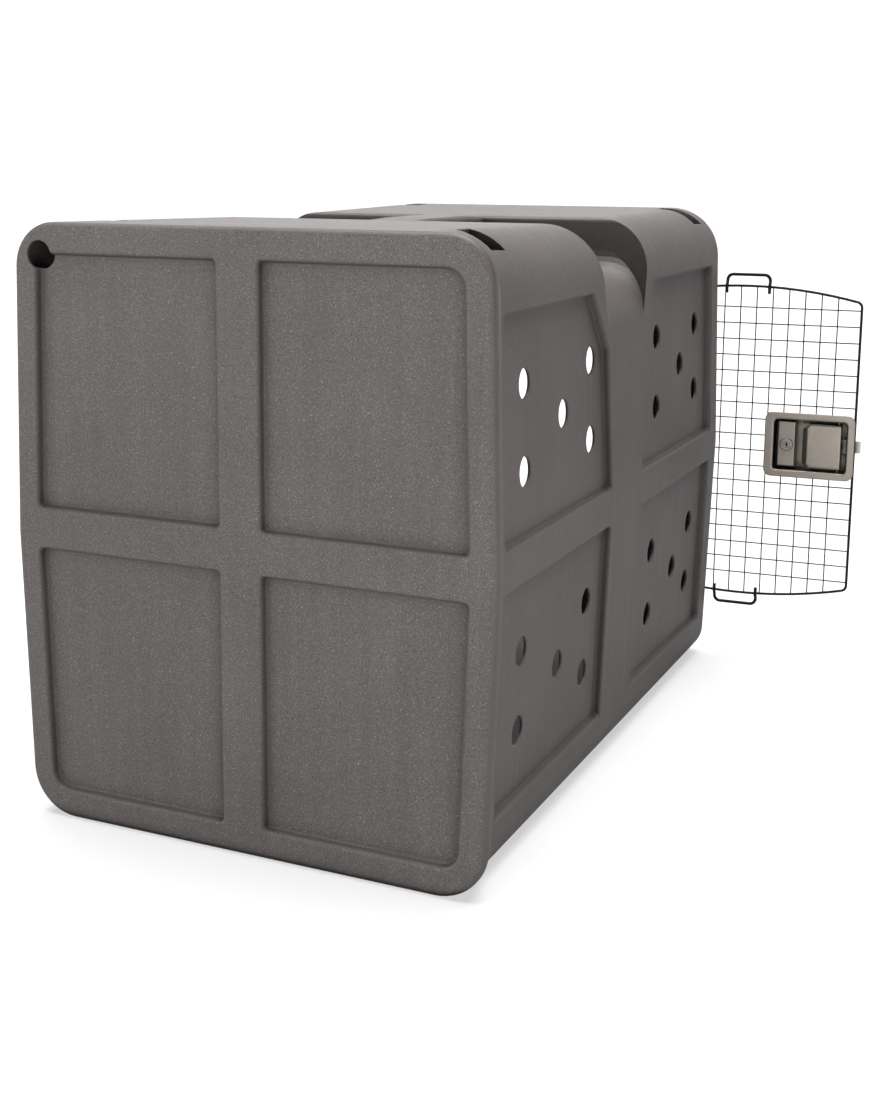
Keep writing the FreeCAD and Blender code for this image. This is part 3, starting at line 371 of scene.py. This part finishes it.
def bolt_spring():
    """Coil spring on the guide rod, built at one fixed length; the real spring shortens as the bolt draws
    back.
    """
    low, high = (Vector(corner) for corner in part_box("bolt_spring"))
    along = Vector(SLIDE_AXIS)
    across = Vector((-along.y, along.x, 0.0))
    upward = Vector((0.0, 0.0, 1.0))
    middle = (low + high) / 2.0
    half = (high.x - low.x) / 2.0 - SPRING_WIRE - SPRING_SLACK
    steps = SPRING_TURNS * SPRING_STEPS
    points = []
    for step in range(steps + 1):
        part = step / steps
        angle = 2.0 * math.pi * SPRING_TURNS * part
        outward = across * math.cos(angle) + upward * math.sin(angle)
        centre = middle + along * (half - 2.0 * half * part) + outward * SPRING_R
        points += spring_ring(centre, outward, along)
    faces = []
    for step in range(steps):
        for side in range(SPRING_SIDES):
            here = step * SPRING_SIDES + side
            beside = step * SPRING_SIDES + (side + 1) % SPRING_SIDES
            faces.append((here, beside, beside + SPRING_SIDES, here + SPRING_SIDES))
    faces.append(tuple(range(SPRING_SIDES))[::-1])
    faces.append(tuple(range(steps * SPRING_SIDES, (steps + 1) * SPRING_SIDES)))
    mesh = bpy.data.meshes.new("coil_spring")
    mesh.from_pydata(points, [], faces)
    work = bmesh.new()
    work.from_mesh(mesh)
    bmesh.ops.recalc_face_normals(work, faces=work.faces)
    work.to_mesh(mesh)
    work.free()
    mesh.shade_smooth()
    mesh.materials.append(MATERIALS["hardware_steel"])
    obj = bpy.data.objects.new("coil_spring", mesh)
    bpy.context.scene.collection.objects.link(obj)
    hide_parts("bolt_spring")
    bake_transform(obj)


# ---------------------------------------------------------------- stage

def floor():
    """Large pale floor."""
    half = FLOOR_HALF
    mesh = bpy.data.meshes.new("floor")
    corners = [(-half, -half, 0.0), (half, -half, 0.0), (half, half, 0.0), (-half, half, 0.0)]
    mesh.from_pydata(corners, [], [(0, 1, 2, 3)])
    obj = bpy.data.objects.new("floor", mesh)
    bpy.context.scene.collection.objects.link(obj)
    material, tree, shader = new_material("floor_paper")
    paper = noise(tree, coordinates(tree), 6.0, 2.0)
    colour = ramp(tree, paper, [(0.3, (0.375, 0.375, 0.375)), (0.7, (0.385, 0.385, 0.385))])
    tree.links.new(colour, shader.inputs["Base Color"])
    shader.inputs["Roughness"].default_value = 0.9
    shader.inputs["Specular IOR Level"].default_value = 0.1
    glow = tree.nodes.new("ShaderNodeEmission")
    glow.inputs["Strength"].default_value = FLOOR_GLOW
    both = tree.nodes.new("ShaderNodeAddShader")
    tree.links.new(shader.outputs[0], both.inputs[0])
    tree.links.new(glow.outputs[0], both.inputs[1])
    surface = tree.nodes["Material Output"].inputs["Surface"]
    seen_directly(tree, shader.outputs[0], both.outputs[0], surface)
    mesh.materials.append(material)


def low_band(tree, parts, toward, span, strength, top):
    """World light from one direction, brightest at the horizon and faded out at the height top."""
    along = arithmetic(tree, "ADD", arithmetic(tree, "MULTIPLY", parts.outputs["X"], toward[0]),
                       arithmetic(tree, "MULTIPLY", parts.outputs["Y"], toward[1]))
    side = fit_range(tree, along, span[0], span[1], 0.0, strength)
    level = fit_range(tree, parts.outputs["Z"], 0.0, top, 1.0, 0.0)
    return arithmetic(tree, "MULTIPLY", side, level)


def add_light(light, at, source):
    """Place a light so that it shines from the direction source."""
    obj = bpy.data.objects.new(light.name, light)
    obj.location = at
    obj.rotation_euler = source.to_track_quat("Z", "Y").to_euler()
    bpy.context.scene.collection.objects.link(obj)
    return obj


def world_light():
    """Pale low light from both ends, dark sides, and a white backdrop."""
    world = bpy.data.worlds.new("studio")
    world.use_nodes = True
    tree = world.node_tree
    background = tree.nodes["Background"]
    background.inputs["Color"].default_value = (*WHITE, 1.0)
    direction = tree.nodes.new("ShaderNodeTexCoord").outputs["Generated"]
    parts = tree.nodes.new("ShaderNodeSeparateXYZ")
    tree.links.new(direction, parts.inputs[0])
    front = low_band(tree, parts, FRONT_FROM, FRONT_SPAN, FRONT, FRONT_TOP)
    back = low_band(tree, parts, BACK_FROM, BACK_SPAN, BACK, BACK_TOP)
    glow = arithmetic(tree, "ADD", front, back)
    tree.links.new(arithmetic(tree, "ADD", glow, AMBIENT), background.inputs["Strength"])
    backdrop = tree.nodes.new("ShaderNodeBackground")
    backdrop.inputs["Color"].default_value = (*WHITE, 1.0)
    backdrop.inputs["Strength"].default_value = BACKDROP
    surface = tree.nodes["World Output"].inputs["Surface"]
    seen_directly(tree, background.outputs[0], backdrop.outputs[0], surface)
    bpy.context.scene.world = world
    bpy.context.scene.view_settings.view_transform = "Standard"


def lights():
    """The world, one very soft light from above and one panel beside the plain end."""
    world_light()
    sun = bpy.data.lights.new("overhead", "SUN")
    sun.energy = OVERHEAD
    sun.angle = math.radians(OVERHEAD_SPREAD)
    add_light(sun, (0.0, 0.0, 0.0), Vector(OVERHEAD_FROM))
    panel = bpy.data.lights.new("beside", "AREA")
    panel.energy = BESIDE
    panel.size = BESIDE_SIZE
    beside = add_light(panel, BESIDE_AT, Vector(BESIDE_AT) - Vector(BESIDE_TO))
    beside.visible_camera = False


def camera():
    """The reference view."""
    data = bpy.data.cameras.new("camera")
    data.sensor_fit = "VERTICAL"
    data.sensor_height = SENSOR
    data.sensor_width = SENSOR
    data.lens = CAMERA_LENS
    data.shift_x, data.shift_y = CAMERA_SHIFT
    data.clip_end = FAR_CLIP
    obj = bpy.data.objects.new("camera", data)
    obj.location = CAMERA_AT
    obj.rotation_euler = [math.radians(turn) for turn in CAMERA_TURN]
    bpy.context.scene.collection.objects.link(obj)
    bpy.context.scene.camera = obj


paint_nodes()
bolt_spring()
floor()
lights()
camera()
